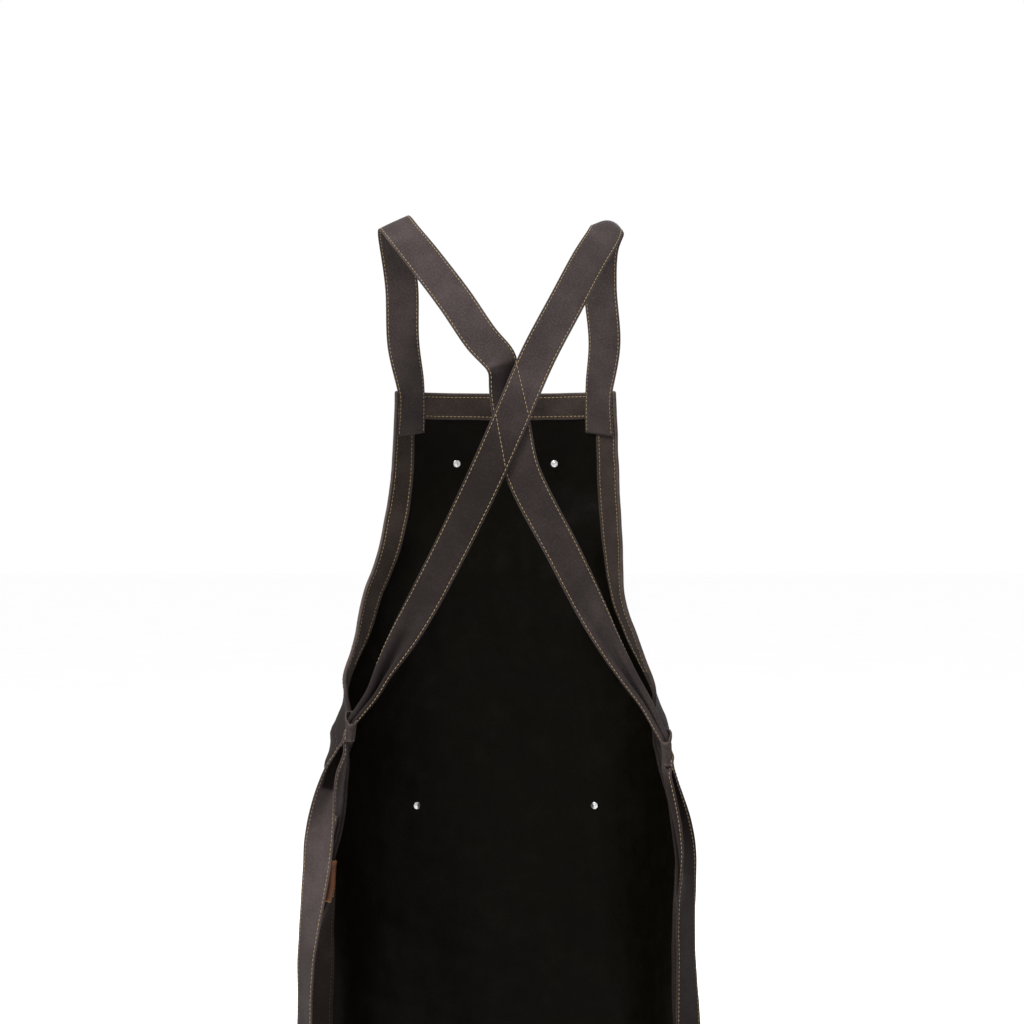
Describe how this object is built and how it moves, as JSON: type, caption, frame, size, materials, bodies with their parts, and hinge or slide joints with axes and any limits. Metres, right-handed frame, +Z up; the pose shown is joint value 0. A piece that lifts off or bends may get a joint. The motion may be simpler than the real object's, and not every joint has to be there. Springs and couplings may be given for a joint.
{
  "type": "apron",
  "caption": "Cross-back work apron hung as worn: lined canvas bib and skirt, shoulder straps crossed behind, waist loops, hanging ties, pockets and a leather side tab.",
  "frame": {"origin": "midway between the two places where the straps rest on the wearer's shoulders, at the height of the straps' undersides", "axes": "+Z up; the wearer faces -Y, so the bib and skirt are at -Y and the crossed straps at +Y; the wearer's left side is at +X"},
  "size_m": [0.4365, 0.2339, 1.2471],
  "materials": {
    "canvas": "matte",
    "strap_cloth": "matte",
    "lining": "satin",
    "leather": "satin",
    "rivet_metal": "polished"
  },
  "bodies": {
    "apron": {"shell_panel": "canvas", "lining_panel": "lining", "bib_top_facing": "canvas", "bottom_hem": "canvas", "armhole_facing_left": "canvas", "armhole_facing_right": "canvas", "side_hem_left": "canvas", "side_hem_right": "canvas", "hip_pocket_left": "canvas", "hip_pocket_right": "canvas", "chest_pocket": "canvas", "waist_loop_left": "canvas", "waist_loop_right": "canvas", "strap_left": "strap_cloth", "strap_right": "strap_cloth", "leather_tab": "leather", "rivet_chest_left": "rivet_metal", "rivet_chest_right": "rivet_metal", "rivet_hip_front_left": "rivet_metal", "rivet_hip_front_right": "rivet_metal", "rivet_hip_side_left": "rivet_metal", "rivet_hip_side_right": "rivet_metal"},
    "tie_left": {"tie_left": "strap_cloth"},
    "tie_right": {"tie_right": "strap_cloth"}
  },
  "joints": [
    {"name": "tie_left_swing", "type": "hinge", "parent": "apron", "child": "tie_left", "pos_m": [0.158, 0.0535, -0.556], "axis": [1, 0, 0], "range_deg": [0, 85]},
    {"name": "tie_right_swing", "type": "hinge", "parent": "apron", "child": "tie_right", "pos_m": [-0.158, 0.0535, -0.556], "axis": [1, 0, 0], "range_deg": [0, 85]}
  ]
}
